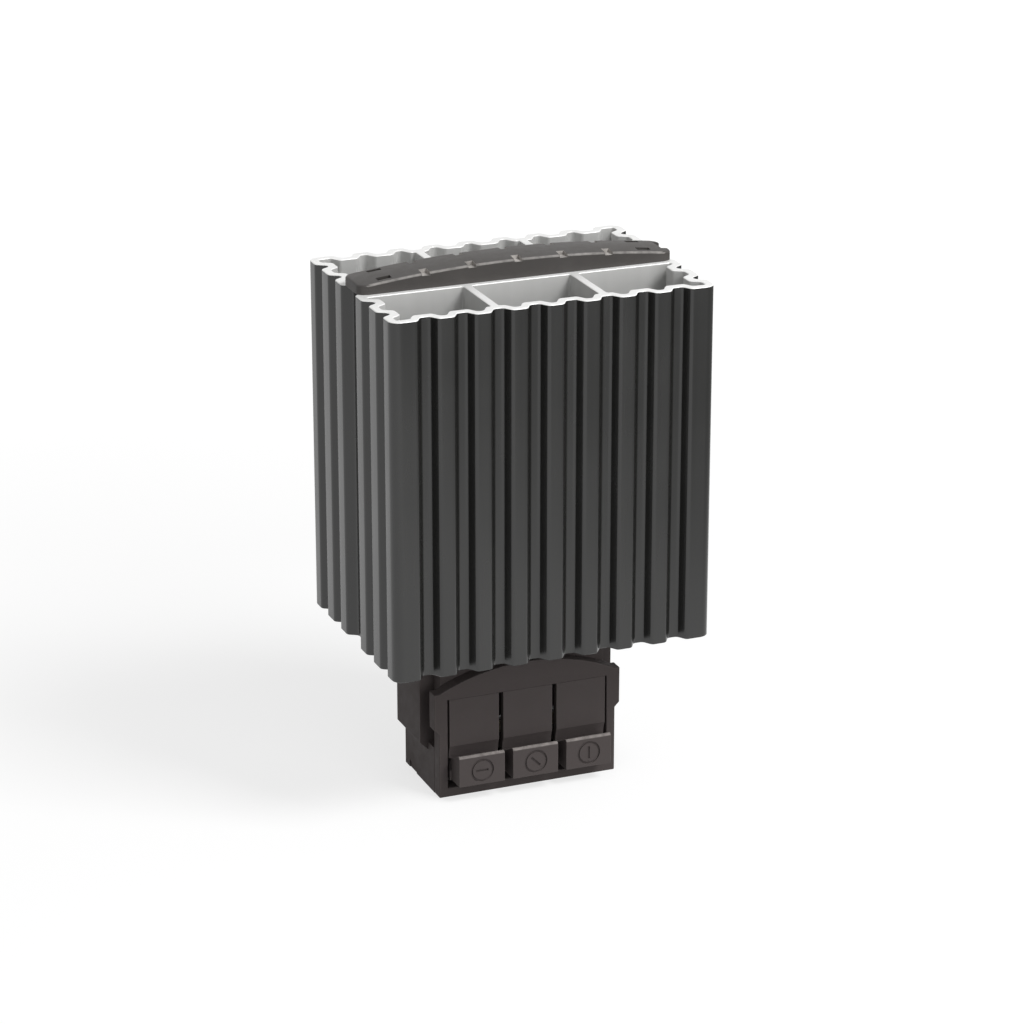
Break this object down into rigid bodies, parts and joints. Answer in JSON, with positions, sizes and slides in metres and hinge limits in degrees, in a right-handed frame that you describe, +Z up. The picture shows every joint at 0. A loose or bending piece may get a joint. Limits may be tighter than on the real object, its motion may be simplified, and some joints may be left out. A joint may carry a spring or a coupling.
{
  "type": "enclosure heater",
  "caption": "Small cabinet heater: a fluted aluminium extrusion with through chambers, an arched cap, a terminal housing with press keys, and a rail clip on the back.",
  "frame": {"origin": "middle of the terminal housing's bottom face", "axes": "+Z up along the extrusion, -Y towards the press keys, +Y towards the rail"},
  "size_m": [0.07, 0.0546, 0.1147],
  "materials": {
    "anodised_aluminium": "charcoal anodised, semi-gloss, with bright sawn ends",
    "cap_plastic": "moulded, fine grain",
    "housing_plastic": "moulded, fine grain",
    "key_plastic": "moulded, fine grain",
    "spring_steel": "bright rolled strip",
    "tinned_brass": "thin tin plating",
    "bare_aluminium": "rolled",
    "heating_ceramic": "fired ceramic, metallised faces",
    "frame_plastic": "moulded",
    "insulating_film": "amber film"
  },
  "bodies": {
    "heater": {"heatsink": "anodised_aluminium", "top_cap": "cap_plastic", "terminal_base": "housing_plastic", "terminal_cover": "housing_plastic", "clamp_spring_left": "spring_steel", "clamp_spring_middle": "spring_steel", "clamp_spring_right": "spring_steel", "current_bar_left": "tinned_brass", "current_bar_middle": "tinned_brass", "current_bar_right": "tinned_brass", "electrode_front": "bare_aluminium", "electrode_rear": "bare_aluminium", "ptc_stones": "heating_ceramic", "element_frame": "frame_plastic", "insulation_sleeve": "insulating_film", "pressure_bar": "bare_aluminium", "din_clip": "spring_steel", "clip_rivets": "bare_aluminium"},
    "key_left": {"clamp_key_left": "key_plastic"},
    "key_middle": {"clamp_key_middle": "key_plastic"},
    "key_right": {"clamp_key_right": "key_plastic"}
  },
  "joints": [
    {"name": "key_left_press", "type": "hinge", "parent": "heater", "child": "key_left", "pos_m": [-0.0121, -0.0102, 0.022], "axis": [1, 0, 0], "range_deg": [0, 6], "stiffness_Nm_per_rad": 0.3},
    {"name": "key_middle_press", "type": "hinge", "parent": "heater", "child": "key_middle", "pos_m": [0, -0.0102, 0.022], "axis": [1, 0, 0], "range_deg": [0, 6], "stiffness_Nm_per_rad": 0.3},
    {"name": "key_right_press", "type": "hinge", "parent": "heater", "child": "key_right", "pos_m": [0.0121, -0.0102, 0.022], "axis": [1, 0, 0], "range_deg": [0, 6], "stiffness_Nm_per_rad": 0.3}
  ]
}
